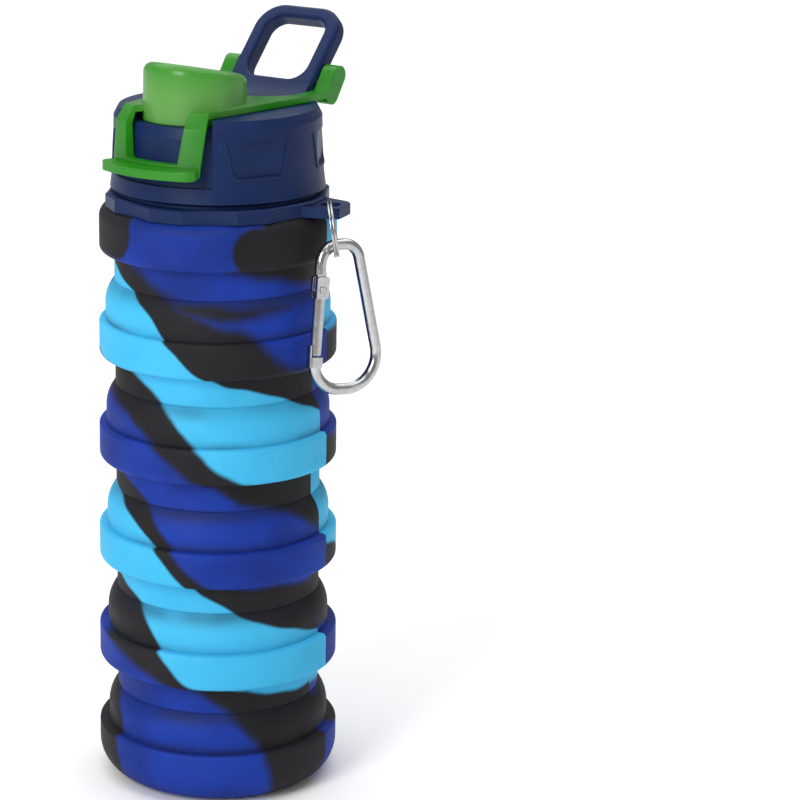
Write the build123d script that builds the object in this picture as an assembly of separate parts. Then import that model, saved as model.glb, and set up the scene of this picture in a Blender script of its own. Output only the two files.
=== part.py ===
from build123d import *
import os
from math import cos, degrees, radians, sin

# Folding silicone drinking bottle with a screw cap, a flip cover and a carabiner.
# Millimetres. +Z is up, the origin is the centre of the base's underside.
# The latch of the flip cover faces -Y, the carry loop leans towards +Y.

# ---- driving dimensions: silicone body ----
BASE_RADIUS = 35.8
RADIUS_TAPER = 0.25          # each level up is this much smaller in radius
BASE_HEIGHT = 16.3
BAND_HEIGHT = 11.0
FOLD_PITCH = 31.15           # from the top of one band to the top of the next
NECK_HEIGHT = 8.6            # straight tube under each band
NECK_RADIUS = 30.2
NECK_BORE = 28.4
RING_BORE = 31.6             # inside of the thick bands
TIER_RADIUS = 32.95          # largest radius of the folding tiers
WEB = 1.6
TIER_WALL = 1.35
FOLDS = 5

# ---- driving dimensions: neck, collar and cap ----
BODY_TOP = 174.6
COLLAR_HEIGHT = 4.1
COLLAR_LOBES = 8
LOBE_RADIUS = 32.9
LOBE_HALF_ANGLE = 8.5
VALLEY_RADIUS = 31.5
LOBE_START = 10.5            # angle of the first lobe from the front
TAB_ANGLE = 98.5
TAB_THICKNESS = 3.1
TAB_CORNERS = (              # outline of the tab: outwards, then towards the rear
    (26.0, 9.6), (26.0, -9.0), (34.0, -6.1), (41.3, -4.3), (40.7, 4.3), (38.6, 6.4),
    (30.2, 8.5),
)
TAB_HOLE_AT = 36.4
TAB_HOLE_RADIUS = 3.0
MOUTH_RADIUS = 23.2
INSERT_RADIUS = 25.4
INSERT_TOP = 197.0
FLANGE_RADIUS = 30.0
THREAD_PITCH = 4.0
THREAD_TURNS = 1.35
THREAD_START = 184.0
CAP_BOTTOM = 180.2
CAP_CEILING = 199.0
SEAT_FLOOR = 200.9           # floor of the recess under the dome
SEAT_RADIUS = 15.6
CAP_EDGE = 200.8
CAP_TOP = 203.4
CAP_PLATE_RADIUS = 28.6
CAP_RADIUS = 30.0
CAP_FOOT_RADIUS = 31.2
GRIP_DEPTH_RADIUS = 29.4
POCKET_HALF_ANGLE = 34.5
GRIP_COUNT = 6               # positions round the cap; the front one is the latch pocket

# ---- driving dimensions: loop and flip cover ----
LOOP_SLOPE = 48.0
LOOP_FOOT_Y = 21.0
LOOP_LENGTH = 31.9
LOOP_WIDTH = 29.8
LOOP_THICKNESS = 5.5
LOOP_BAR = 4.3
LOOP_HOLE_START = 6.6
PIVOT_Y = 29.0
PIVOT_Z = 207.1
PIN_RADIUS = 1.5
PIN_LENGTH = 7.2
PIN_SEAT = 3.4               # length of each pin inside the loop
EAR_THICKNESS = 4.7
EAR_GAP = 0.55
EAR_CENTRE = (30.2, 206.8)
EAR_LENGTH = 12.0
EAR_WIDTH = 5.8
EAR_SLOPE = 55.0
COVER_BOTTOM = 203.6
COVER_PLATE = 1.9
DOME_Y = -10.8
DOME_RADIUS = 15.0
SPOUT_BORE = 5.9
SPOUT_TIP = 210.0
DOME_RIM = 201.1
DOME_FRONT = 218.7           # height of the dome's top at the front and at the rear
DOME_REAR = 211.9
DOME_DRAFT = 0.7
DOME_WALL = 1.8
STRAP_ANGLES = (31.5, 28.0)  # half-angles of the strap at its bend and at its foot
WINDOW_ANGLES = (19.8, 16.7)
STRAP_BEND = 202.0
STRAP_FOOT = 187.8
WINDOW_FOOT = 191.3
THUMB_RADIUS = 37.3
THUMB_THICKNESS = 2.5
THUMB_HALF_ANGLE = 27.5

# ---- driving dimensions: ring and carabiner ----
FACING = 37.5                # direction of the ring's plane, from the front
RING_LEAN = 8.0
RING_MEAN_RADIUS = 7.5
RING_WIRE = (1.1, 0.7)       # radial and axial size of the flat wire
RING_TURNS = 1.75
RING_PITCH = 0.8
RING_REACH = 5.95            # centre of the ring in front of the tab's hole
RING_DROP = 4.4              # centre of the ring below the middle of the tab
HANG_GAP = 0.75              # between the ring and the carabiner in it
ROD_RADIUS = 1.65
CARABINER_TURN = 30.0        # turn of the carabiner towards the body
CARABINER_TILT = 3.0         # lower end leaning out of its plane
CARABINER_SWING = -2.5       # lower end swung towards the body in its plane
ARC_CENTRE = (1.2, -5.5)     # middle of the arc that hangs in the ring
ARC_CORNERS = ((-4.6, 0.0), (6.9, 0.0))
FOOT_CORNERS = ((17.0, -42.6), (-7.8, -41.4))
ARC_ROUNDING = 5.4
SPINE_ROUNDING = 9.5         # of the foot's outer corner
GATE_ROUNDING = 8.4          # of the foot's corner under the gate
RIVET = (-5.0, -12.4)
GATE_LENGTH = 18.9
GATE_DRIFT = 1.2             # how far the gate's free end stands out sideways
GATE_RADIUS = 1.75
SHOULDER = 4.3               # from the rivet up to the end of the rod
GATE_PLAY = 0.45             # between the gate's free end and the nose
FORK_TOP = 3.7               # above the rivet
FORK_DEPTH = 2.6             # below the rivet
TONGUE_THICKNESS = 1.4
SHANK_RADIUS = 0.6
SPRING_RADIUS = 0.85

os.makedirs("parts", exist_ok=True)


def write(node, shape):
    """Writes one sub-part; several solids in one node stay separate."""
    export_step(shape, f"parts/{node}.step")


def lathe(*edges):
    """A solid of revolution about Z from edges given as (radius, height)."""
    return revolve(Plane.XZ * make_face(list(edges)), axis=Axis.Z)


def outline(*corners):
    """Closed profile of (radius, height[, rounding]) corners, ready for lathe."""
    points = [corner[:2] for corner in corners]
    rounds = [corner[2] if len(corner) > 2 else 0 for corner in corners]
    return FilletPolyline(*points, radius=rounds, close=True)


def ring(inner, outer, bottom, height):
    """A plain ring standing on Z = bottom."""
    tube = Cylinder(outer, height) - Cylinder(inner, 3 * height)
    return Pos(0, 0, bottom + height / 2) * tube


def slab(x_size, y_size, z_size, centre):
    return Pos(*centre) * Box(x_size, y_size, z_size)


def direction(angle):
    """Horizontal unit vector at an angle from the front (-Y), towards +X."""
    return Vector(sin(radians(angle)), -cos(radians(angle)), 0)


def polar(radius, angle, z=0.0):
    return direction(angle) * radius + Vector(0, 0, z)


def band_radius(level):
    return BASE_RADIUS - RADIUS_TAPER * level


def band_top(level):
    return BASE_HEIGHT + level * FOLD_PITCH


# ---------------------------------------------------------------- silicone body
def base_cup():
    floor = 2.2
    return lathe(outline(
        (0, 0), (BASE_RADIUS, 0, 10.0), (BASE_RADIUS, BASE_HEIGHT, 1.0),
        (RING_BORE, BASE_HEIGHT), (RING_BORE, floor, 6.5), (0, floor),
    ))


def band(level):
    """Stiff band with the straight neck that hangs below it."""
    top = band_top(level)
    bottom = top - BAND_HEIGHT
    return lathe(outline(
        (RING_BORE, top), (band_radius(level), top, 1.1),
        (band_radius(level), bottom, 1.8), (NECK_RADIUS, bottom),
        (NECK_RADIUS, bottom - NECK_HEIGHT), (NECK_BORE, bottom - NECK_HEIGHT),
        (NECK_BORE, bottom + WEB), (RING_BORE, bottom + WEB),
    ))


def fold(level):
    """Thin tier between the band below and the neck above; it turns inside out."""
    low = band_top(level - 1)
    high = band_top(level) - BAND_HEIGHT - NECK_HEIGHT
    shoulder = low + 4.6
    outside = [(TIER_RADIUS, low), (TIER_RADIUS, shoulder), (NECK_RADIUS, high)]
    inside = [(r - TIER_WALL, z) for r, z in outside]
    return lathe(
        Line(inside[0], outside[0]),
        Line(outside[0], outside[1]),
        TangentArc(outside[1], outside[2], tangent=(0, 1)),
        Line(outside[2], inside[2]),
        TangentArc(inside[1], inside[2], tangent=(0, 1)),
        Line(inside[1], inside[0]),
    )


def top_band():
    """Uppermost band; its inturned lip is clamped between insert and collar."""
    radius = band_radius(FOLDS)
    bottom = band_top(FOLDS) - BAND_HEIGHT
    lip = BODY_TOP - WEB
    return lathe(outline(
        (INSERT_RADIUS + 0.1, BODY_TOP), (radius, BODY_TOP, 3.5),
        (radius, bottom, 1.8), (NECK_RADIUS, bottom),
        (NECK_RADIUS, bottom - NECK_HEIGHT), (NECK_BORE, bottom - NECK_HEIGHT),
        (NECK_BORE, bottom + WEB), (RING_BORE, bottom + WEB),
        (RING_BORE, lip, 1.2), (INSERT_RADIUS + 0.1, lip),
    ))


# ---------------------------------------------------------------- neck and collar
def thread(root_radius, crest_radius, start, turns):
    """Helical ridge of trapezoid section, right-handed, about Z."""
    path = Helix(THREAD_PITCH, THREAD_PITCH * turns, root_radius)
    base, crest = 1.9, 0.9
    section = Plane.XZ * make_face(Polyline(
        (root_radius, -base / 2), (crest_radius, -crest / 2),
        (crest_radius, crest / 2), (root_radius, base / 2), close=True,
    ))
    ridge = sweep(section, path=path, is_frenet=True)
    return Pos(0, 0, start) * ridge


def neck_insert():
    """Hard tube in the silicone mouth: flange below, barb and thread above."""
    bottom = 167.0
    flange_top = BODY_TOP - WEB
    flange_bottom = flange_top - 2.4
    barb = BODY_TOP + COLLAR_HEIGHT + 0.95
    tube = lathe(outline(
        (MOUTH_RADIUS, bottom), (INSERT_RADIUS, bottom), (INSERT_RADIUS, flange_bottom),
        (FLANGE_RADIUS, flange_bottom, 0.5), (FLANGE_RADIUS, flange_top),
        (INSERT_RADIUS, flange_top), (INSERT_RADIUS, barb), (INSERT_RADIUS + 0.6, barb + 0.1),
        (INSERT_RADIUS, barb + 0.9), (INSERT_RADIUS, INSERT_TOP, 0.8),
        (MOUTH_RADIUS, INSERT_TOP, 0.8),
    ))
    return tube + thread(INSERT_RADIUS - 0.2, 26.7, THREAD_START, THREAD_TURNS)


def collar_outline():
    """Eight flat lobes joined by shallow hollows."""
    step = 360 / COLLAR_LOBES
    edges = []
    for lobe in range(COLLAR_LOBES):
        centre = LOBE_START + lobe * step
        left = polar(LOBE_RADIUS, centre - LOBE_HALF_ANGLE)
        right = polar(LOBE_RADIUS, centre + LOBE_HALF_ANGLE)
        following = polar(LOBE_RADIUS, centre + step - LOBE_HALF_ANGLE)
        valley = polar(VALLEY_RADIUS, centre + step / 2)
        edges.append(Line(left, right))
        edges.append(ThreePointArc(right, valley, following))
    return make_face(edges)


def tab():
    """Flat lug on the collar, standing on Z = 0, its hole left for later."""
    shape = make_face(Polyline(*TAB_CORNERS, close=True))
    block = extrude(shape, TAB_THICKNESS)
    tip = [e for e in block.edges().filter_by(Axis.Z) if e.center().X > TAB_HOLE_AT]
    return Rot(0, 0, TAB_ANGLE - 90) * fillet(tip, 0.7)


def collar_ring():
    """Lobed clamp ring with a raised bead and the holed tab for the ring."""
    bead_height, bead_radius, seat = 0.9, 29.5, INSERT_RADIUS + 0.05
    disc = Pos(0, 0, BODY_TOP) * extrude(collar_outline(), COLLAR_HEIGHT)
    disc = chamfer(disc.edges().group_by(Axis.Z)[-1], 0.45)
    bead = ring(seat, bead_radius, BODY_TOP + COLLAR_HEIGHT, bead_height)
    bead = fillet(bead.edges().group_by(Axis.Z)[-1].sort_by(SortBy.RADIUS)[-1], 0.4)
    hole = Pos(*polar(TAB_HOLE_AT, TAB_ANGLE, BODY_TOP)) * Cylinder(TAB_HOLE_RADIUS, 30)
    bore = Pos(0, 0, BODY_TOP) * Cylinder(seat, 30)
    return disc + Pos(0, 0, BODY_TOP) * tab() + bead - hole - bore


# ---------------------------------------------------------------- cap
def cap_profile(offset=0.0, top=CAP_TOP):
    """Edges of the cap's full outline, optionally grown or shrunk by offset."""
    foot = (CAP_FOOT_RADIUS + offset, CAP_BOTTOM)
    waist = (CAP_RADIUS + 0.3 + offset, 192.0)
    edge = (CAP_RADIUS + offset, CAP_EDGE)
    plate = (CAP_PLATE_RADIUS + offset, top)
    return [
        Line((0, CAP_BOTTOM), foot),
        TangentArc(waist, foot, tangent=(0, -1)),
        Line(waist, edge),
        Line(edge, plate),
        Line(plate, (0, top)),
        Line((0, top), (0, CAP_BOTTOM)),
    ]


def grip_shape(grow=0.0):
    """Trapezoid of a grip recess, wider at its top, in the tangent plane."""
    low, high = 187.4 - grow, 197.4
    wide, narrow = 9.3 + grow, 7.2 + grow
    return make_face(FilletPolyline(
        (-wide, high), (-narrow, low), (narrow, low), (wide, high),
        radius=[0, 2.0, 2.0, 0], close=True,
    ))


def grip_prism(grow, depth_from, depth_to):
    """Grip outline pushed out from the axis, on the -Y side."""
    plane = Plane(origin=(0, -depth_from, 0), x_dir=(1, 0, 0), z_dir=(0, -1, 0))
    return extrude(plane * grip_shape(grow), depth_to - depth_from)


def loop_plane():
    """Front face of the carry loop, its Y axis up the slope."""
    slope = radians(LOOP_SLOPE)
    return Plane(
        origin=(0, LOOP_FOOT_Y, CAP_TOP), x_dir=(1, 0, 0),
        z_dir=(0, -sin(slope), cos(slope)),
    )


def carry_loop():
    half = LOOP_WIDTH / 2
    buried = -5.0
    plate_shape = make_face(FilletPolyline(
        (-half, buried), (half, buried), (half, LOOP_LENGTH), (-half, LOOP_LENGTH),
        radius=[0, 0, 8.5, 8.5], close=True,
    ))
    inner = half - LOOP_BAR
    hole_shape = make_face(FilletPolyline(
        (-inner, LOOP_HOLE_START), (inner, LOOP_HOLE_START),
        (inner, LOOP_LENGTH - LOOP_BAR), (-inner, LOOP_LENGTH - LOOP_BAR),
        radius=[5.2, 5.2, 4.6, 4.6], close=True,
    ))
    plate = extrude(loop_plane() * plate_shape, -LOOP_THICKNESS)
    edges = plate.edges().filter_by(lambda e: e.center().Z > CAP_TOP + 4)
    rims = [e for e in edges if abs(e.tangent_at(0.5).dot(loop_plane().z_dir)) < 0.1]
    plate = fillet(rims, 1.5)
    hole = extrude(loop_plane() * hole_shape, LOOP_THICKNESS, both=True)
    plate = plate - hole
    mouth = loop_plane().offset(-LOOP_THICKNESS / 2)
    inner_rims = [
        e for e in plate.edges()
        if abs(mouth.to_local_coords(e.center()).X) < inner + 0.1
        and LOOP_HOLE_START - 0.1 < mouth.to_local_coords(e.center()).Y < LOOP_LENGTH - LOOP_BAR + 0.1
        and abs(abs(mouth.to_local_coords(e.center()).Z) - LOOP_THICKNESS / 2) < 0.01
    ]
    return fillet(inner_rims, 1.1)


def loop_fillet():
    """Concave sweep from the top plate up into the loop."""
    reach, rise = 5.5, LOOP_SLOPE
    foot = (LOOP_FOOT_Y - reach, CAP_TOP - 0.01)
    up = (LOOP_FOOT_Y + reach * cos(radians(rise)), CAP_TOP + reach * sin(radians(rise)))
    section = make_face([
        TangentArc(foot, up, tangent=(1, 0)),
        Line(up, (LOOP_FOOT_Y + 1.5, CAP_TOP - 1.0)),
        Line((LOOP_FOOT_Y + 1.5, CAP_TOP - 1.0), (foot[0], CAP_TOP - 1.0)),
        Line((foot[0], CAP_TOP - 1.0), foot),
    ])
    return extrude(Plane.YZ * section, LOOP_WIDTH / 2 - 0.2, both=True)


def wedge(half_angle, bottom, top):
    """Sector on the -Y side, half_angle to each side of the front."""
    far = 60
    left, right = polar(far, -half_angle), polar(far, half_angle)
    sector = make_face([Line((0, 0), left), Line(left, right), Line(right, (0, 0))])
    return Pos(0, 0, bottom) * extrude(sector, top - bottom)


def latch_pocket():
    """Sunk panel behind the latch strap, open into the recess under the dome."""
    hollow = lathe(outline(
        (29.6, 184.6), (45, 184.6), (45, CAP_TOP + 1), (20, CAP_TOP + 1),
        (20, SEAT_FLOOR), (27.2, SEAT_FLOOR), (28.3, 198.0), (28.9, 188.0),
    ))
    return hollow & wedge(POCKET_HALF_ANGLE, 180, 210)


def cap_shell():
    """Screw cap: wall with grips, top plate, loop, internal thread, pin seats."""
    shell = lathe(*cap_profile())
    for number in range(1, GRIP_COUNT):
        turn = Rot(0, 0, number * 360 / GRIP_COUNT)
        lip = grip_prism(0.75, 20, 40) - grip_prism(0.0, 19, 41)
        lip = lip & lathe(*cap_profile(0.3))
        shell = shell + turn * lip
        shell = shell - turn * grip_prism(0.0, GRIP_DEPTH_RADIUS, 40)
    shell = shell - latch_pocket()
    shell = shell + carry_loop() + loop_fillet()
    cavity = lathe(outline(
        (0, 170), (27.2, 170), (27.2, 190.5, 0.5), (26.4, 191.0), (26.4, CAP_CEILING, 0.8),
        (0, CAP_CEILING),
    ))
    shell = shell - cavity
    shell = shell + thread(27.4, 26.0, THREAD_START - THREAD_PITCH / 2, THREAD_TURNS - 0.1)
    seat_height = CAP_TOP - SEAT_FLOOR + 1
    shell = shell - Pos(0, DOME_Y, SEAT_FLOOR + seat_height / 2) * Cylinder(SEAT_RADIUS, seat_height)
    spout_hole = Pos(0, DOME_Y, CAP_TOP) * Cylinder(7.65, 20)
    pins = Pos(0, PIVOT_Y, PIVOT_Z) * Rot(0, 90, 0) * Cylinder(PIN_RADIUS + 0.01, LOOP_WIDTH + 2)
    keep = slab(2 * (LOOP_WIDTH / 2 - PIN_SEAT), 20, 20, (0, PIVOT_Y, PIVOT_Z))
    return shell - spout_hole - (pins - keep)


def cap_gasket():
    bottom = INSERT_TOP + 0.1
    height = CAP_CEILING - 0.1 - bottom
    gasket = ring(22.4, 26.1, bottom, height)
    return fillet(gasket.edges(), 0.3)


def spout():
    """Drinking spout pressed down through the floor of the recess."""
    body = lathe(outline(
        (SPOUT_BORE, 198.3), (7.6, 198.3), (7.6, SEAT_FLOOR), (10.4, SEAT_FLOOR),
        (10.4, SEAT_FLOOR + 1.3, 0.5), (8.1, SEAT_FLOOR + 1.3, 0.8), (7.5, SPOUT_TIP, 0.6),
        (SPOUT_BORE, SPOUT_TIP, 0.6),
    ))
    return Pos(0, DOME_Y, 0) * body


# ---------------------------------------------------------------- flip cover
def dome_solid(inset):
    """Cylinder with a slanted, rounded top, shrunk by inset for the hollow."""
    radius = DOME_RADIUS - inset
    height = DOME_FRONT - DOME_RIM + 6
    body = Pos(0, DOME_Y, DOME_RIM + height / 2) * Cone(radius, radius - DOME_DRAFT, height)
    rise = (DOME_FRONT - DOME_REAR) / (2 * DOME_RADIUS)
    middle = (DOME_FRONT + DOME_REAR) / 2 - inset
    lid_plane = Plane(origin=(0, DOME_Y, middle), x_dir=(1, 0, 0), z_dir=(0, rise, 1))
    body = split(body, bisect_by=lid_plane, keep=Keep.BOTTOM)
    return fillet(body.edges().sort_by(Axis.Z)[-1], 2.6 - inset / 2)


def cover_plate():
    """Plate round the dome, with two arms that spread to the hinge ears."""
    rear = PIVOT_Y - 1.6
    inner_rear = LOOP_WIDTH / 2 + EAR_GAP
    outer_rear = inner_rear + EAR_THICKNESS
    corner = polar(27.5, STRAP_ANGLES[0])
    half_front, front = corner.X, corner.Y
    edges = [
        Line((half_front, front), (outer_rear, 17.5)),
        Line((outer_rear, 17.5), (outer_rear, rear)),
        Line((outer_rear, rear), (inner_rear, rear)),
        Line((inner_rear, rear), (inner_rear, 15.2)),
        ThreePointArc((inner_rear, 15.2), (0, 5.6), (-inner_rear, 15.2)),
        Line((-inner_rear, 15.2), (-inner_rear, rear)),
        Line((-inner_rear, rear), (-outer_rear, rear)),
        Line((-outer_rear, rear), (-outer_rear, 17.5)),
        Line((-outer_rear, 17.5), (-half_front, front)),
        Line((-half_front, front), (half_front, front)),
    ]
    return Pos(0, 0, COVER_BOTTOM) * extrude(make_face(edges), COVER_PLATE)


def between_sides(shape, angles, low, high):
    """Trims to the front sector whose half-angle changes from low to high."""
    for side in (-1, 1):
        upper = polar(31, side * angles[0], high)
        inward = polar(1, side * angles[0]) * -1
        lower = polar(32, side * angles[1], low)
        outward = (lower - upper).cross(inward).normalized() * side
        edge = Plane(origin=upper, x_dir=inward, z_dir=outward)
        shape = split(shape, bisect_by=edge, keep=Keep.BOTTOM)
    return shape


def strap_window():
    """Opening between the strap's two arms, rounded at its lower corners."""
    block = slab(60, 25, 25, (0, -33, WINDOW_FOOT + 12.5))
    block = between_sides(block, WINDOW_ANGLES, WINDOW_FOOT, STRAP_BEND)
    floor = block.faces().sort_by(Axis.Z)[0]
    return fillet([e for e in floor.edges() if abs(e.tangent_at(0.5).Y) > 0.5], 0.8)


def latch_strap():
    """Skirt over the cap's edge, bent down from the cover plate."""
    top = COVER_BOTTOM + COVER_PLATE
    skirt = lathe(outline(
        (19, COVER_BOTTOM), (19, top), (27.9, top), (31.0, 201.2), (32.3, 190.8),
        (31.6, STRAP_FOOT), (29.4, STRAP_FOOT), (28.8, 200.6), (27.5, COVER_BOTTOM),
    ))
    return between_sides(skirt & wedge(45, 180, 220), STRAP_ANGLES, STRAP_FOOT, STRAP_BEND)


def thumb_tab():
    """Curved lip under the strap, thin, with rounded ends."""
    lip = ring(29.6, THUMB_RADIUS, STRAP_FOOT, THUMB_THICKNESS)
    lip = lip & wedge(THUMB_HALF_ANGLE, STRAP_FOOT - 5, STRAP_FOOT + 15)
    corners = [
        e for e in lip.edges().filter_by(Axis.Z)
        if Vector(e.center().X, e.center().Y, 0).length > THUMB_RADIUS - 1
    ]
    return fillet(corners, 3.0)


def hinge_ear(side):
    """Knuckle beside the loop with a blind bore for the hinge pin."""
    inner = LOOP_WIDTH / 2 + EAR_GAP
    plane = Plane(origin=(side * inner, *EAR_CENTRE), x_dir=(0, 1, 0), z_dir=(side, 0, 0))
    shape = plane * (Rot(0, 0, side * EAR_SLOPE) * SlotOverall(EAR_LENGTH, EAR_WIDTH))
    return extrude(shape, EAR_THICKNESS)


def ear_bore(side):
    inner = LOOP_WIDTH / 2 + EAR_GAP
    depth = PIN_LENGTH - PIN_SEAT + 0.4 - EAR_GAP
    centre = side * (inner + depth / 2 - 0.5)
    bore = Rot(0, 90, 0) * Cylinder(PIN_RADIUS + 0.06, depth + 1.0)
    return Pos(centre, PIVOT_Y, PIVOT_Z) * bore


def flip_cover():
    cover = cover_plate() + latch_strap() - strap_window() + thumb_tab()
    cover = cover + dome_solid(0) + hinge_ear(1) + hinge_ear(-1)
    return cover - dome_solid(DOME_WALL) - ear_bore(1) - ear_bore(-1)


def cover_plug():
    """Soft plug on the dome's ceiling that stops the spout."""
    blank = lathe(outline(
        (0, 207.6), (4.6, 207.6, 0.6), (5.1, 210.2), (8.8, 210.2, 0.4), (8.8, 230), (0, 230),
    ))
    return (Pos(0, DOME_Y, 0) * blank) & dome_solid(DOME_WALL)


def hinge_pins():
    """Two short pins, one in each side bar of the loop."""
    reach = LOOP_WIDTH / 2 - PIN_SEAT + PIN_LENGTH / 2
    pin = Rot(0, 90, 0) * Cylinder(PIN_RADIUS, PIN_LENGTH)
    return Compound([Pos(side * reach, PIVOT_Y, PIVOT_Z) * pin for side in (-1, 1)])


# ---------------------------------------------------------------- ring and carabiner
def hole_centre():
    return polar(TAB_HOLE_AT, TAB_ANGLE, BODY_TOP + TAB_THICKNESS / 2)


def ring_frame():
    """Ring's own frame: X towards the front, Y sideways out, Z up the leaning ring."""
    lean = radians(RING_LEAN)
    forward = direction(FACING)
    sideways = direction(FACING + 90)
    up = Vector(0, 0, 1) * cos(lean) - sideways * sin(lean)
    centre = hole_centre() + forward * RING_REACH - up * RING_DROP
    return Plane(origin=centre, x_dir=forward, z_dir=up)


def split_ring():
    """Flat wire wound one and three-quarter turns."""
    radial, axial = RING_WIRE
    height = RING_PITCH * RING_TURNS
    path = Helix(RING_PITCH, height, RING_MEAN_RADIUS)
    section = Plane.XZ * (Pos(RING_MEAN_RADIUS, 0) * RectangleRounded(radial, axial, 0.25))
    coil = Pos(0, 0, -height / 2) * sweep(section, path=path, is_frenet=True)
    start = RING_TURNS * 180
    to_hole = 180 - 25
    coil = Rot(0, 0, to_hole - start) * coil
    return ring_frame() * Rot(90, 0, 0) * coil


def carabiner_frame():
    """X along the carabiner's width away from the body, Y up, Z out of its plane."""
    frame = ring_frame()
    wire_bottom = RING_MEAN_RADIUS - RING_WIRE[0] / 2
    seat = frame.origin - frame.z_dir * (wire_bottom - ROD_RADIUS - HANG_GAP)
    turn, tilt, swing = (
        radians(angle) for angle in (CARABINER_TURN, CARABINER_TILT, CARABINER_SWING)
    )
    along = direction(FACING + 90) * cos(turn) - direction(FACING) * sin(turn)
    outward = along.cross(Vector(0, 0, 1)) * cos(tilt) + Vector(0, 0, 1) * sin(tilt)
    hanging = Plane(origin=seat, x_dir=along, z_dir=outward)
    across = hanging.x_dir * cos(swing) + hanging.y_dir * sin(swing)
    pivot = hanging.from_local_coords(ARC_CENTRE)
    swung = Plane(origin=pivot, x_dir=across, z_dir=outward)
    corner = swung.from_local_coords((-ARC_CENTRE[0], -ARC_CENTRE[1]))
    return Plane(origin=corner, x_dir=across, z_dir=outward)


def carabiner_path():
    """Centre line of the rod, from the gate's shoulder round to the nose."""
    return FilletPolyline(
        (RIVET[0], RIVET[1] + SHOULDER), *ARC_CORNERS, *FOOT_CORNERS,
        (RIVET[0] - GATE_DRIFT, RIVET[1] - GATE_LENGTH - 0.5),
        radius=[ARC_ROUNDING, ARC_ROUNDING, SPINE_ROUNDING, GATE_ROUNDING],
    )


def in_gate_frame(shape):
    """Moves a shape built about the rivet, gate pointing down, into place."""
    lean = degrees(GATE_DRIFT / (GATE_LENGTH + 0.5))
    return carabiner_frame() * Pos(*RIVET, 0) * Rot(0, 0, -lean) * shape


def carabiner_nose():
    """Squared end that the gate shuts against, with a thin lip beside the gate."""
    width, height, thickness = 4.3, 3.0, 3.4
    lip_width, lip_height, lip_thickness = 0.55, 4.4, 2.0
    lip_at, sideways = -2.02, -0.15
    top = -GATE_LENGTH - GATE_PLAY
    block = slab(width, height, thickness, (sideways, top - height / 2, 0))
    block = fillet(block.edges().filter_by(Axis.Y), 0.9)
    buried = 1.0
    lip = slab(lip_width, lip_height, lip_thickness, (lip_at, top - buried + lip_height / 2, 0))
    return block + lip


def carabiner_body():
    """Bent rod with a tongue for the gate at one end and the nose at the other."""
    path = carabiner_path()
    start = Plane(origin=path @ 0, z_dir=path % 0)
    rod = sweep(start * Circle(ROD_RADIUS), path=path)
    tongue = Pos(0, SHOULDER / 2 + 0.2) * Rectangle(3.0, SHOULDER + 0.6) + Circle(1.5)
    tongue = extrude(tongue, TONGUE_THICKNESS / 2, both=True)
    tongue = tongue - Cylinder(SHANK_RADIUS + 0.06, 10)
    body = carabiner_frame() * rod
    return body + in_gate_frame(tongue) + in_gate_frame(carabiner_nose())


def carabiner_gate():
    """Round tube, forked over the body's tongue, with the spring's bore."""
    width, thickness, slit, clear = 4.0, 3.5, 1.6, 1.2
    length = GATE_LENGTH + FORK_TOP
    tube = Rot(90, 0, 0) * Cylinder(GATE_RADIUS - 0.15, length)
    tube = Pos(0, FORK_TOP - length / 2, 0) * tube
    fork_height = FORK_TOP + FORK_DEPTH
    middle = (FORK_TOP - FORK_DEPTH) / 2
    fork = slab(width, fork_height, thickness, (0, middle, 0))
    fork = fillet(fork.edges().filter_by(Axis.Z), 0.8)
    slot = slab(2 * width, fork_height + clear, slit, (0, middle + 0.8, 0))
    bore = Pos(0, -8.0, 0) * Rot(90, 0, 0) * Cylinder(SPRING_RADIUS + 0.3, 12)
    return in_gate_frame(tube + fork - slot - bore - Cylinder(SHANK_RADIUS + 0.01, 10))


def gate_rivet():
    head_radius, head_height, head_at = 1.05, 0.5, 2.05
    pin = Cylinder(SHANK_RADIUS, 3.6)
    for side in (-1, 1):
        pin = pin + Pos(0, 0, side * head_at) * Cylinder(head_radius, head_height)
    return in_gate_frame(fillet(pin.edges().group_by(Axis.Z)[-1], 0.3))


def gate_spring():
    wire, pitch, height, top = 0.16, 1.0, 8.0, -4.6
    section = Plane.XZ * (Pos(SPRING_RADIUS, 0) * Circle(wire))
    coil = sweep(section, path=Helix(pitch, height, SPRING_RADIUS), is_frenet=True)
    return in_gate_frame(Pos(0, top, 0) * Rot(90, 0, 0) * coil)


def write_all():
    write("base_cup", base_cup())
    for level in range(1, FOLDS + 1):
        write(f"fold_{level}", fold(level))
    for level in range(1, FOLDS):
        write(f"band_{level}", band(level))
    makers = [
        top_band, neck_insert, collar_ring, cap_shell, cap_gasket, spout, flip_cover,
        cover_plug, hinge_pins, split_ring, carabiner_body, carabiner_gate, gate_rivet,
        gate_spring,
    ]
    for make in makers:
        write(make.__name__, make())


write_all()
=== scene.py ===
from math import atan2, cos, pi, radians, sin

import bpy
import numpy as np
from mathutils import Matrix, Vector


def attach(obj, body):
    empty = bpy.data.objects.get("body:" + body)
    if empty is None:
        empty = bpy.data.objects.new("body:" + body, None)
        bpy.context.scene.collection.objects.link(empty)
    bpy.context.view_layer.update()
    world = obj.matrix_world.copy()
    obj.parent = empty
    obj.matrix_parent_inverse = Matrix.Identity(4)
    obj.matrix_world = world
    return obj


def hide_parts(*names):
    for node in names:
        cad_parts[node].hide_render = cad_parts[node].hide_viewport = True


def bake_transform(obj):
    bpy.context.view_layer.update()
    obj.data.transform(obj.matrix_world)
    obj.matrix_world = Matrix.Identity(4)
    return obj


# Folding silicone bottle: moulded marbled silicone, navy screw cap, green flip
# cover, split ring and carabiner. Metres, in the row frame of the CAD parts.

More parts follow.
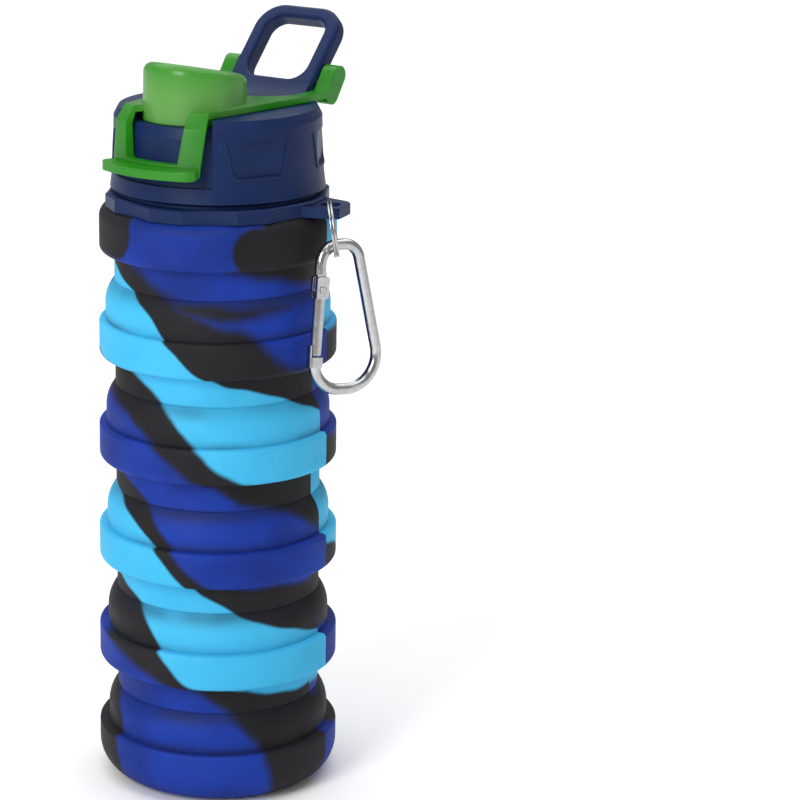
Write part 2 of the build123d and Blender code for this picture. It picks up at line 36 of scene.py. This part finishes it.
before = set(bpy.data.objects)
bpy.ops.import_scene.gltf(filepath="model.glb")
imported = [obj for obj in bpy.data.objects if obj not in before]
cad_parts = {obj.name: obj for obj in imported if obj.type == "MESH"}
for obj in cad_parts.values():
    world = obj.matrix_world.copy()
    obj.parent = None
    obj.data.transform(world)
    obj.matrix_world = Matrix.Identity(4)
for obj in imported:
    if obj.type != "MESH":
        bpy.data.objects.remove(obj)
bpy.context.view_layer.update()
MM = 0.001

# ---- silicone body, the same driving sizes as the CAD parts (millimetres) ----
BASE_RADIUS = 35.8
RADIUS_TAPER = 0.25
BASE_HEIGHT = 16.3
BAND_HEIGHT = 11.0
FOLD_PITCH = 31.15
NECK_HEIGHT = 8.6
NECK_RADIUS = 30.2
NECK_BORE = 28.4
RING_BORE = 31.6
TIER_RADIUS = 32.95
TIER_WALL = 1.35
WEB = 1.6
TIER_HEIGHT = FOLD_PITCH - BAND_HEIGHT - NECK_HEIGHT
SHOULDER_HEIGHT = 4.6        # straight part of a tier, above the band below it
FLOOR_THICKNESS = 2.2        # of the base cup
FOLDS = 5
BODY_TOP = 174.6
MOUTH_LIP = 25.5
SEGMENTS = 540               # round the bottle
STEP = 0.55                  # spacing of the mesh rows
ARC_DENSITY = 1.6            # how much closer the rows lie on an arc
SHARP_EDGE = 50              # degrees; gentler edges are shaded smooth
SWELL_STEPS = 14             # rows over a tier's curved shoulder
BURIED = 1.0                 # how far a tier runs down into the band below it
VIEW_AZIMUTH = 37.5          # the camera's direction from the front (-Y)

# ---- the cover's dome, where a painted pool of light makes its green paler (metres) ----
DOME_LIGHT_MIDDLE = (0.0, -0.0108, 0.2055)
DOME_LIGHT_FADE = (0.011, 0.021)   # distances from the middle: all pale, all deep


# ------------------------------------------------------------------ lathe meshes
def rounded(corners):
    """Closed profile of (r, z[, rounding]) corners as evenly spaced points."""
    out = []
    count = len(corners)
    for i, corner in enumerate(corners):
        here = np.array(corner[:2], float)
        before = np.array(corners[i - 1][:2], float) - here
        after = np.array(corners[(i + 1) % count][:2], float) - here
        radius = corner[2] if len(corner) > 2 else 0.0
        if radius <= 0:
            out.append(here)
            continue
        a, b = before / np.linalg.norm(before), after / np.linalg.norm(after)
        half = np.arccos(np.clip(a @ b, -1, 1)) / 2
        reach = radius / np.tan(half)
        centre = here + (a + b) / np.linalg.norm(a + b) * radius / np.sin(half)
        start, end = here + a * reach - centre, here + b * reach - centre
        first = atan2(start[1], start[0])
        turn = (atan2(end[1], end[0]) - first + pi) % (2 * pi) - pi
        steps = max(4, int(abs(turn) * radius / STEP * ARC_DENSITY))
        for k in range(steps + 1):
            angle = first + turn * k / steps
            out.append(centre + radius * np.array([cos(angle), sin(angle)]))
    return out


def spaced(points, closed=True):
    """Adds points along straight stretches so that none is longer than STEP."""
    out = []
    stretches = len(points) if closed else len(points) - 1
    for i in range(stretches):
        a, b = points[i], points[(i + 1) % len(points)]
        pieces = max(1, int(np.ceil(np.linalg.norm(b - a) / STEP)))
        out += [a + (b - a) * k / pieces for k in range(pieces)]
    if not closed:
        out.append(points[-1])
    return np.array(out)


def lathe(name, profile, closed=True):
    """Mesh of revolution about Z; an open profile starts and ends on the axis."""
    body = profile if closed else profile[1:-1]
    rows = len(body)
    angles = np.arange(SEGMENTS) * 2 * pi / SEGMENTS
    r, z = body[:, 0][:, None], body[:, 1][:, None]
    xyz = np.stack([r * np.cos(angles), r * np.sin(angles), z + 0 * angles], -1).reshape(-1, 3)
    row = np.arange(rows if closed else rows - 1)[:, None]
    col = np.arange(SEGMENTS)[None, :]
    after_row, after_col = (row + 1) % rows, (col + 1) % SEGMENTS
    quads = np.stack([
        row * SEGMENTS + col, row * SEGMENTS + after_col,
        after_row * SEGMENTS + after_col, after_row * SEGMENTS + col,
    ], -1).reshape(-1, 4)
    faces = quads.tolist()
    if not closed:
        poles = np.array([[0, 0, profile[0][1]], [0, 0, profile[-1][1]]])
        first, last = len(xyz), len(xyz) + 1
        xyz = np.vstack([xyz, poles])
        end = (rows - 1) * SEGMENTS
        for c in range(SEGMENTS):
            d = (c + 1) % SEGMENTS
            faces.append([first, d, c])
            faces.append([last, end + c, end + d])
    mesh = bpy.data.meshes.new(name)
    mesh.from_pydata((xyz * MM).tolist(), [], faces)
    mesh.update()
    mesh.shade_smooth()
    mesh.set_sharp_from_angle(angle=radians(SHARP_EDGE))
    piece = bpy.data.objects.new(name, mesh)
    bpy.context.collection.objects.link(piece)
    return piece


def band_radius(level):
    return BASE_RADIUS - RADIUS_TAPER * level


def band_top(level):
    return BASE_HEIGHT + level * FOLD_PITCH


def silicone_body(level):
    """The moving body that carries the band at a level; the base is level 0."""
    if level == 0:
        return "base"
    return f"band_{level}" if level < FOLDS else "top"


# ------------------------------------------------------------------ marbled pattern
# The dye runs through the moulding in ribbons that fall to the right; one thin black
# ribbon, just under the top neck, is painted shade instead. A ribbon is a row of
# (angle from the camera's side, upper edge, lower edge) with the widths over which its
# two edges fade; a blob is a rounded bar between two points, with its radius and fade.
# Angles are in degrees, the rest in millimetres.
SEAM = 64.0                  # one mould parting line; the other is opposite
DEGREE = 0.6                 # millimetres round the bottle per degree
WELL_INSIDE = 4.0            # the measure stops growing here
SEEN_WAVE = 0.5              # share of the waviness on the side towards the camera

CYAN = [
    ([(-115, 160, 137), (-90, 159, 133), (-75, 157, 131.5), (-60, 154, 130), (-45, 150.5, 126.5),
      (-35, 146.5, 123), (-28, 141.5, 119.5), (-20, 137, 115), (-10, 131.5, 109), (0, 128.5, 103.5),
      (15, 126, 98.8), (30, 123.5, 98.4), (45, 120.5, 98.2), (66, 116, 97.6)], 0.5, 0.9),
    ([(-115, 96, 68), (-90, 92, 66), (-75, 90.5, 64.5), (-60, 88, 61.8), (-45, 83.5, 58),
      (-35, 79.5, 51.5), (-25, 73.5, 43.5), (-15, 67, 37.8), (0, 62, 36.6), (15, 57.5, 34.5),
      (30, 54.5, 32.6), (45, 51.5, 31.6), (66, 48, 32)], 0.6, 0.8),
]
BLACK = [
    ([(-115, 172, 158), (-90, 168, 157), (-75, 164.5, 155), (-60, 162, 151), (-45, 158.5, 147),
      (-30, 153.5, 140), (-15, 149.5, 131), (0, 145.8, 125), (14, 144, 122.3), (20, 141.5, 121.3),
      (27, 136.5, 119.8), (41, 132.5, 117), (66, 130, 112)], 2.6, 1.0),
    ([(-115, 134, 122), (-90, 133, 120), (-75, 133, 119), (-60, 133, 117.5), (-45, 130, 113.5),
      (-30, 124, 107.5), (-15, 115, 101), (0, 107, 96.3), (15, 102, 91.3), (30, 101, 89.5),
      (45, 101, 86), (66, 101, 79)], 0.8, 1.7),
    ([(-115, 102, 92), (-90, 100, 89), (-75, 98, 88), (-60, 95.5, 86), (-45, 92, 81), (-35, 87, 76),
      (-25, 80, 70), (-15, 73, 64), (-5, 68.8, 60), (0, 67.8, 58), (15, 66.2, 54), (30, 65.6, 51),
      (45, 65.2, 48), (66, 64, 45)], 1.2, 0.6),
    ([(-115, 67, 54), (-90, 66, 51), (-75, 66.5, 48), (-60, 64.5, 45.2), (-45, 60, 41.6),
      (-35, 54, 38.8), (-25, 46, 36.4), (-15, 40.5, 34.5), (0, 39, 30), (8, 38, 26), (16, 37, 21),
      (22, 36, 15), (27, 35, 4), (34, 35, -12), (66, 34, -12)], 0.8, 2.0),
    ([(-115, 36, -12), (-90, 31.5, -12), (-75, 28.5, -12), (-66, 25, -10), (-59, 18, -4), (-56, 10, 2)],
     1.4, 1.2),
    # painted shade: this thin black stripe just under the top neck is shade, not dye
    ([(-30, 151.2, 151), (-15, 151.6, 147.6), (0, 151.2, 146.4), (18, 150.6, 147.6),
      (40, 149.8, 149.4)], 1.6, 2.6),
    ([(4, 161.6, 161.4), (20, 163, 158.4), (40, 164, 156.5), (66, 166, 154)], 1.4, 2.0),
]
BLACK_BLOBS = [
    ((19.0, 166.8), (70.0, 167.0), 7.4, 0.8), ((33.0, 170.4), (70.0, 171.0), 7.2, 0.8),
    ((-118.0, 170.0), (-58.5, 169.6), 7.4, 0.9),
]
CYAN_BEHIND = [
    ([(62, 151, 139.5), (80, 151.5, 141), (110, 149, 136), (150, 140, 121), (190, 128, 110),
      (247, 116, 98)], 0.6, 1.2),
    ([(62, 97.5, 76), (85, 95.5, 72), (120, 88, 64), (160, 77, 52), (200, 63, 42), (247, 50, 33)],
     0.6, 1.0),
    ([(62, 37, 31.5), (90, 36, 29), (130, 33, 17), (180, 22, 5), (247, 6, -12)], 0.8, 1.0),
]
BLACK_BEHIND = [
    ([(62, 165, 150), (100, 166, 150), (150, 157, 139), (190, 146, 127), (247, 133, 115)], 1.6, 0.6),
    ([(62, 141, 128), (90, 140, 127), (130, 132, 117), (170, 118, 103), (210, 107, 93),
      (247, 100, 88)], 0.6, 1.8),
    ([(62, 109, 96), (100, 105, 94), (150, 95, 80), (200, 79, 62), (247, 66, 50)], 1.8, 0.6),
    ([(62, 77, 50), (100, 71, 47), (150, 55, 36), (200, 44, 27), (247, 37, 18)], 0.6, 2.0),
    ([(62, 28, 18), (90, 28, 15), (130, 20, 4), (160, 12, -12), (247, 3, -12)], 1.6, 0.8),
]
CYAN_BLOBS_BEHIND = [((74.0, 170.0), (92.0, 169.0), 8.5, 0.7)]
BLACK_BLOBS_BEHIND = [((128.0, 169.5), (176.0, 167.5), 7.8, 0.9)]


def through(knots, values, at):
    """Smooth curve through the knots, flat beyond the first and the last."""
    knots, values = np.array(knots, float), np.array(values, float)
    slopes = np.gradient(values, knots)
    at = np.clip(at, knots[0], knots[-1])
    i = np.clip(np.searchsorted(knots, at) - 1, 0, len(knots) - 2)
    width = knots[i + 1] - knots[i]
    t = (at - knots[i]) / width
    return (
        values[i] * (2 * t**3 - 3 * t**2 + 1) + values[i + 1] * (3 * t**2 - 2 * t**3)
        + slopes[i] * width * (t**3 - 2 * t**2 + t) + slopes[i + 1] * width * (t**3 - t**2)
    )


def ribbon(angle, z, rows, fade_top, fade_low):
    """Inside measure of a ribbon: over 1 well inside, under -1 well outside."""
    knots = [row[0] for row in rows]
    measures = []
    for column, sign, fade in ((1, 1, fade_top), (2, -1, fade_low)):
        edge = through(knots, [row[column] for row in rows], angle)
        ahead = through(knots, [row[column] for row in rows], angle + 1)
        steep = np.sqrt(1 + ((ahead - edge) / DEGREE) ** 2)
        measures.append(sign * (edge - z) / steep / fade)
    beyond = np.minimum(angle - knots[0] + 1, knots[-1] + 1 - angle) * DEGREE * 2
    return np.minimum(np.minimum(*measures), beyond)


def blob(angle, z, start, end, radius, fade):
    """Inside measure of a rounded bar."""
    a = np.array([start[0] * DEGREE, start[1]])
    b = np.array([end[0] * DEGREE, end[1]])
    p = np.stack([angle * DEGREE, z], -1)
    t = np.clip(((p - a) @ (b - a)) / ((b - a) @ (b - a)), 0, 1)
    away = np.linalg.norm(p - a - t[:, None] * (b - a), axis=1)
    return (radius - away) / fade


def union(angle, z, ribbons, blobs):
    best = np.full(len(z), -WELL_INSIDE)
    for rows, fade_top, fade_low in ribbons:
        best = np.maximum(best, ribbon(angle, z, rows, fade_top, fade_low))
    for shape in blobs:
        best = np.maximum(best, blob(angle, z, *shape))
    return np.clip(best, -WELL_INSIDE, WELL_INSIDE)


def waviness(angle, z):
    """Millimetres by which the edges of the ribbons wander up and down."""
    broad = 0.55 * np.sin(radians(7) * angle + z * 0.21)
    narrow = 0.35 * np.sin(radians(13) * angle - z * 0.34)
    return broad + narrow


def painted_crease_shade(z):
    """Share of painted shade in the creases at the top and the foot of each tier."""
    above = (z - BASE_HEIGHT) % FOLD_PITCH             # height over the band below
    at_top = np.exp(-((above - TIER_HEIGHT + 0.8) / 2.4) ** 2) * (above < TIER_HEIGHT)
    at_foot = np.exp(-(above / 1.7) ** 2)
    return 0.85 * at_top + 0.8 * at_foot


def paint_fields(piece):
    """Stores how far each vertex lies inside the black (dye, and a painted shade stripe under the top
    neck) and the cyan dye, and its share of painted crease shade.
    """
    co = np.empty(len(piece.data.vertices) * 3, np.float32)
    piece.data.vertices.foreach_get("co", co)
    co = co.reshape(-1, 3) / MM
    angle = np.degrees(np.arctan2(co[:, 0], -co[:, 1])) - VIEW_AZIMUTH
    front = (angle - SEAM) % 360 - 360 + SEAM          # SEAM - 360 .. SEAM
    is_front = front > SEAM - 180
    behind = front + 360
    z = co[:, 2]
    wave = waviness(front, z)
    fields = {}
    for name, near, near_blobs, far, far_blobs in (
        ("black_dye_and_shade", BLACK, BLACK_BLOBS, BLACK_BEHIND, BLACK_BLOBS_BEHIND),
        ("dye_cyan", CYAN, [], CYAN_BEHIND, CYAN_BLOBS_BEHIND),
    ):
        seen = union(front, z + wave * SEEN_WAVE, near, near_blobs)
        hidden = union(behind, z + wave, far, far_blobs)
        fields[name] = np.where(is_front, seen, hidden)
    # painted shade in the creases at the top and the foot of each tier
    fields["painted_crease_shade"] = painted_crease_shade(z)
    for name, values in fields.items():
        attribute = piece.data.attributes.new(name, "FLOAT", "POINT")
        attribute.data.foreach_set("value", values.astype(np.float32))


# ------------------------------------------------------------------ node helpers
# Colour sockets of a mix node, whose float and vector sockets have the same names.
COLOUR_A, COLOUR_B, COLOUR_OUT = 6, 7, 2


def new_material(name):
    material = bpy.data.materials.new(name)
    material.use_nodes = True
    tree = material.node_tree
    shader = tree.nodes["Principled BSDF"]
    return material, tree, shader


def add(tree, kind, **values):
    """Adds a node; values name its properties or its input sockets."""
    node = tree.nodes.new(kind)
    for key, value in values.items():
        label = key.replace("_", " ")
        if label in node.inputs:
            node.inputs[label].default_value = value
        elif label.title() in node.inputs:
            node.inputs[label.title()].default_value = value
        else:
            setattr(node, key, value)
    return node


def noise(tree, scale, detail=3.0, rough=0.5):
    """Noise in object space, so that it lies still on its piece."""
    place = add(tree, "ShaderNodeTexCoord")
    texture = add(tree, "ShaderNodeTexNoise", scale=scale, detail=detail, roughness=rough)
    tree.links.new(place.outputs["Object"], texture.inputs["Vector"])
    return texture.outputs["Fac"]


def ranged(tree, source, from_min, from_max, to_min, to_max, smooth=False):
    node = add(tree, "ShaderNodeMapRange")
    node.interpolation_type = "SMOOTHSTEP" if smooth else "LINEAR"
    node.inputs["From Min"].default_value = from_min
    node.inputs["From Max"].default_value = from_max
    node.inputs["To Min"].default_value = to_min
    node.inputs["To Max"].default_value = to_max
    tree.links.new(source, node.inputs["Value"])
    return node.outputs["Result"]


def mixed(tree, factor, first, second):
    """Colour mix; first and second are colours or sockets."""
    node = tree.nodes.new("ShaderNodeMix")
    node.data_type = "RGBA"
    tree.links.new(factor, node.inputs["Factor"])
    for index, value in ((COLOUR_A, first), (COLOUR_B, second)):
        if isinstance(value, tuple):
            node.inputs[index].default_value = (*value, 1)
        else:
            tree.links.new(value, node.inputs[index])
    return node.outputs[COLOUR_OUT]


def clouded(tree, source, low, high, first, second, smooth=False):
    """Colour that drifts from first to second as a noise goes from low to high."""
    return mixed(tree, ranged(tree, source, low, high, 0.0, 1.0, smooth), first, second)


def bump(tree, height, strength, distance, after=None):
    node = add(tree, "ShaderNodeBump", strength=strength, distance=distance)
    tree.links.new(height, node.inputs["Height"])
    if after is not None:
        tree.links.new(after, node.inputs["Normal"])
    return node.outputs["Normal"]


def soft_edges(tree, radius):
    """Normals rounded over the sharp edges of a CAD part."""
    node = add(tree, "ShaderNodeBevel", radius=radius)
    node.samples = 6
    return node.outputs["Normal"]


# ------------------------------------------------------------------ materials
def silicone_material():
    material, tree, shader = new_material("silicone_marbled")
    cloud = noise(tree, 38.0, 3.0, 0.55)
    blue = clouded(tree, cloud, 0.35, 0.68, (0.0020, 0.020, 0.20), (0.0045, 0.036, 0.33), True)
    black = clouded(tree, cloud, 0.3, 0.7, (0.0055, 0.0052, 0.0068), (0.0115, 0.0108, 0.0130))
    cyan = clouded(tree, cloud, 0.3, 0.75, (0.040, 0.41, 0.70), (0.060, 0.48, 0.78))
    ragged = ranged(tree, noise(tree, 260.0, 4.0, 0.6), 0.3, 0.7, -0.16, 0.16)
    colour = blue
    # the black mask holds the dye and the painted shade stripe under the top neck
    for name, dye in (("black_dye_and_shade", black), ("dye_cyan", cyan)):
        field = add(tree, "ShaderNodeAttribute", attribute_name=name)
        shifted = add(tree, "ShaderNodeMath", operation="ADD")
        tree.links.new(field.outputs["Fac"], shifted.inputs[0])
        tree.links.new(ragged, shifted.inputs[1])
        inside = ranged(tree, shifted.outputs["Value"], -1.0, 1.0, 0.0, 1.0, True)
        colour = mixed(tree, inside, colour, dye)
    # Painted shade: a dark colour laid in the creases at the top and the foot of each tier, broken into
    # patches by a noise.
    crease_shade_field = add(tree, "ShaderNodeAttribute", attribute_name="painted_crease_shade")
    crease_shade_patches = ranged(tree, noise(tree, 38.0, 2.0), 0.36, 0.70, 0.05, 0.75, True)
    crease_shade_amount = add(tree, "ShaderNodeMath", operation="MULTIPLY")
    tree.links.new(crease_shade_field.outputs["Fac"], crease_shade_amount.inputs[0])
    tree.links.new(crease_shade_patches, crease_shade_amount.inputs[1])
    colour = mixed(tree, crease_shade_amount.outputs["Value"], colour, (0.013, 0.015, 0.024))
    tree.links.new(colour, shader.inputs["Base Color"])
    tree.links.new(ranged(tree, noise(tree, 90.0), 0.3, 0.7, 0.58, 0.70), shader.inputs["Roughness"])
    shader.inputs["Specular IOR Level"].default_value = 0.22
    fine = bump(tree, noise(tree, 2600.0, 2.0, 0.6), 0.12, 0.00006)
    tree.links.new(bump(tree, noise(tree, 240.0, 2.0), 0.10, 0.0003, fine), shader.inputs["Normal"])
    return material


def navy_material():
    material, tree, shader = new_material("navy_textured")
    grain = noise(tree, 3400.0, 2.0, 0.6)
    cloud = noise(tree, 120.0)
    plain = clouded(tree, cloud, 0.3, 0.7, (0.0024, 0.0130, 0.066), (0.0036, 0.0175, 0.082))
    specks = ranged(tree, grain, 0.52, 0.72, 0.0, 0.45, True)
    colour = mixed(tree, specks, plain, (0.012, 0.032, 0.125))
    tree.links.new(colour, shader.inputs["Base Color"])
    tree.links.new(ranged(tree, grain, 0.3, 0.7, 0.36, 0.50), shader.inputs["Roughness"])
    shader.inputs["Specular IOR Level"].default_value = 0.2
    tree.links.new(bump(tree, grain, 0.55, 0.00011, soft_edges(tree, 0.00035)), shader.inputs["Normal"])
    return material


def green_material():
    """Polished green plastic, with painted light that makes it paler over the dome."""
    material, tree, shader = new_material("green_translucent")
    cloud = noise(tree, 45.0, 2.0)
    deep = clouded(tree, cloud, 0.3, 0.7, (0.016, 0.21, 0.004), (0.026, 0.27, 0.007))
    # Painted light: a paler copy of the green, laid over the dome round its middle.
    painted_dome_light = clouded(tree, cloud, 0.3, 0.7, (0.19, 0.47, 0.11), (0.24, 0.52, 0.15))
    spot = add(tree, "ShaderNodeTexCoord")
    away = add(tree, "ShaderNodeVectorMath", operation="DISTANCE")
    tree.links.new(spot.outputs["Object"], away.inputs[0])
    away.inputs[1].default_value = DOME_LIGHT_MIDDLE
    colour = clouded(tree, away.outputs["Value"], *DOME_LIGHT_FADE, painted_dome_light, deep, True)
    tree.links.new(colour, shader.inputs["Base Color"])
    tree.links.new(ranged(tree, noise(tree, 300.0), 0.3, 0.7, 0.28, 0.38), shader.inputs["Roughness"])
    shader.inputs["Specular IOR Level"].default_value = 0.5
    shader.inputs["Coat Weight"].default_value = 0.3
    shader.inputs["Coat Roughness"].default_value = 0.16
    rounded_normal = bump(tree, noise(tree, 1300.0, 1.0), 0.04, 0.00004, soft_edges(tree, 0.0005))
    tree.links.new(rounded_normal, shader.inputs["Normal"])
    through_light = add(tree, "ShaderNodeBsdfTranslucent", color=(0.20, 0.80, 0.07, 1))
    blend = add(tree, "ShaderNodeMixShader", Fac=0.34)
    tree.links.new(shader.outputs["BSDF"], blend.inputs[1])
    tree.links.new(through_light.outputs["BSDF"], blend.inputs[2])
    output = tree.nodes["Material Output"]
    tree.links.new(blend.outputs["Shader"], output.inputs["Surface"])
    return material


def metal_material(name, colour, low, high, grain_scale):
    """Polished metal; its roughness wanders between low and high."""
    material, tree, shader = new_material(name)
    dull = tuple(c * 0.86 for c in colour)
    tint = clouded(tree, noise(tree, 400.0), 0.35, 0.65, colour, dull)
    tree.links.new(tint, shader.inputs["Base Color"])
    shader.inputs["Metallic"].default_value = 1.0
    rough = ranged(tree, noise(tree, grain_scale, 4.0), 0.3, 0.7, low, high)
    tree.links.new(rough, shader.inputs["Roughness"])
    normal = bump(tree, noise(tree, grain_scale), 0.08, 0.00005, soft_edges(tree, 0.0002))
    tree.links.new(normal, shader.inputs["Normal"])
    return material


def milky_material(name, colour, rough):
    """Whitish plastic or silicone that light enters a little."""
    material, tree, shader = new_material(name)
    dull = tuple(c * 0.9 for c in colour)
    tint = clouded(tree, noise(tree, 150.0), 0.3, 0.7, colour, dull)
    tree.links.new(tint, shader.inputs["Base Color"])
    roughness = ranged(tree, noise(tree, 500.0), 0.3, 0.7, rough, rough + 0.1)
    tree.links.new(roughness, shader.inputs["Roughness"])
    shader.inputs["Subsurface Weight"].default_value = 0.3
    shader.inputs["Subsurface Scale"].default_value = 0.002
    normal = bump(tree, noise(tree, 1500.0), 0.08, 0.00005, soft_edges(tree, 0.0003))
    tree.links.new(normal, shader.inputs["Normal"])
    return material


# ------------------------------------------------------------------ silicone pieces
def finish_silicone(piece, material, node):
    piece.data.materials.append(material)
    paint_fields(piece)
    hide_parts(node)


def build_base(material):
    cup = spaced(rounded([
        (0, 0), (BASE_RADIUS, 0, 10.0), (BASE_RADIUS, BASE_HEIGHT, 1.0),
        (RING_BORE, BASE_HEIGHT), (RING_BORE, FLOOR_THICKNESS, 6.5), (0, FLOOR_THICKNESS),
    ]), closed=False)
    base = lathe("silicone_base", cup, closed=False)
    finish_silicone(base, material, "base_cup")
    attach(base, "base")


def build_band(level, material):
    """A stiff band with the narrow neck that hangs below it."""
    top, radius = band_top(level), band_radius(level)
    bottom = top - BAND_HEIGHT
    neck_end = bottom - NECK_HEIGHT
    lower = [
        (radius, bottom, 1.8), (NECK_RADIUS, bottom, 0.5),
        (NECK_RADIUS, neck_end), (NECK_BORE, neck_end),
        (NECK_BORE, bottom + WEB), (RING_BORE, bottom + WEB),
    ]
    if level < FOLDS:
        corners = [(RING_BORE, top), (radius, top, 1.1)] + lower
        name, node = f"silicone_band_{level}", f"band_{level}"
    else:
        lip = BODY_TOP - WEB
        corners = [(MOUTH_LIP, BODY_TOP), (radius, BODY_TOP, 3.5)] + lower
        corners += [(RING_BORE, lip), (MOUTH_LIP, lip)]
        name, node = "silicone_top", "top_band"
    band = lathe(name, spaced(rounded(corners)))
    finish_silicone(band, material, node)
    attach(band, silicone_body(level))


def build_tier(level, material):
    """The thin tier that folds between two bands; it swells below the neck."""
    low = band_top(level - 1)
    neck_end = low + TIER_HEIGHT
    shoulder = low + SHOULDER_HEIGHT
    drop, rise = TIER_RADIUS - NECK_RADIUS, neck_end - shoulder
    bend = (drop**2 + rise**2) / (2 * drop)
    swell = [np.array([TIER_RADIUS, low - BURIED]), np.array([TIER_RADIUS, shoulder])]
    for k in range(1, SWELL_STEPS + 1):
        turn = np.arcsin(rise / bend) * k / SWELL_STEPS
        swell.append(np.array([TIER_RADIUS - bend * (1 - cos(turn)), shoulder + bend * sin(turn)]))
    wall = np.array([TIER_WALL, 0])
    tier = lathe(f"silicone_tier_{level}", spaced(swell[::-1] + [p - wall for p in swell]))
    finish_silicone(tier, material, f"fold_{level}")
    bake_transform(tier)


def build_silicone(material):
    build_base(material)
    for level in range(1, FOLDS + 1):
        build_band(level, material)
        build_tier(level, material)


# ------------------------------------------------------------------ studio
def area_light(name, place, target, size, power):
    data = bpy.data.lights.new(name, "AREA")
    data.shape = "RECTANGLE"
    data.size, data.size_y = size
    data.energy = power
    light = bpy.data.objects.new(name, data)
    bpy.context.collection.objects.link(light)
    light.location = place
    aim = Vector(target) - Vector(place)
    light.rotation_euler = aim.to_track_quat("-Z", "Y").to_euler()


def around(azimuth, distance, height):
    """A place at an azimuth from the camera's side, in metres."""
    a = radians(VIEW_AZIMUTH + azimuth)
    return (distance * sin(a), -distance * cos(a), height)


def build_studio():
    world = bpy.data.worlds.new("studio")
    bpy.context.scene.world = world
    world.use_nodes = True
    background = world.node_tree.nodes["Background"]
    background.inputs["Color"].default_value = (1, 1, 1, 1)
    background.inputs["Strength"].default_value = 0.36

    side = 6.0                                         # half the floor's width, metres
    mesh = bpy.data.meshes.new("floor")
    corners = [(-side, -side, 0), (side, -side, 0), (side, side, 0), (-side, side, 0)]
    mesh.from_pydata(corners, [], [(0, 1, 2, 3)])
    floor = bpy.data.objects.new("floor", mesh)
    bpy.context.collection.objects.link(floor)
    material, _, shader = new_material("floor_paper")
    shader.inputs["Base Color"].default_value = (0.97, 0.97, 0.97, 1)
    shader.inputs["Roughness"].default_value = 0.9
    mesh.materials.append(material)

    middle = (0, 0, 0.11)
    area_light("key", around(-36, 0.9, 0.60), middle, (0.35, 0.6), 6.4)
    area_light("fill", around(58, 1.0, 0.40), middle, (0.20, 0.8), 0.4)
    area_light("top", around(180, 1.1, 1.9), around(180, 1.1, 0), (3.4, 3.4), 56.0)


def build_camera():
    distance, height = 0.814, 0.346                    # metres
    tilt = 15.84                                       # degrees below the horizontal
    data = bpy.data.cameras.new("camera")
    data.lens = 128.9
    data.sensor_width = 36.0
    data.shift_x = 0.2275                              # the bottle stands at the left
    data.clip_start = 0.05
    camera = bpy.data.objects.new("camera", data)
    bpy.context.collection.objects.link(camera)
    camera.location = around(0, distance, height)
    camera.rotation_euler = (radians(90 - tilt), 0, radians(VIEW_AZIMUTH))
    bpy.context.scene.camera = camera


def dress(nodes, material):
    for node in nodes:
        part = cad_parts[node]
        part.data.materials.clear()
        part.data.materials.append(material)


build_silicone(silicone_material())
dress(["collar_ring", "cap_shell"], navy_material())
dress(["flip_cover"], green_material())
dress(
    ["carabiner_body", "carabiner_gate", "gate_rivet"],
    metal_material("aluminium_polished", (0.53, 0.53, 0.54), 0.12, 0.24, 900.0),
)
dress(
    ["split_ring", "hinge_pins", "gate_spring"],
    metal_material("steel_wire", (0.48, 0.48, 0.48), 0.16, 0.28, 1400.0),
)
dress(["neck_insert", "spout"], milky_material("milky_plastic", (0.80, 0.82, 0.82), 0.35))
dress(["cap_gasket", "cover_plug"], milky_material("milky_silicone", (0.78, 0.80, 0.80), 0.5))
build_studio()
build_camera()
bpy.context.scene.view_settings.view_transform = "Standard"
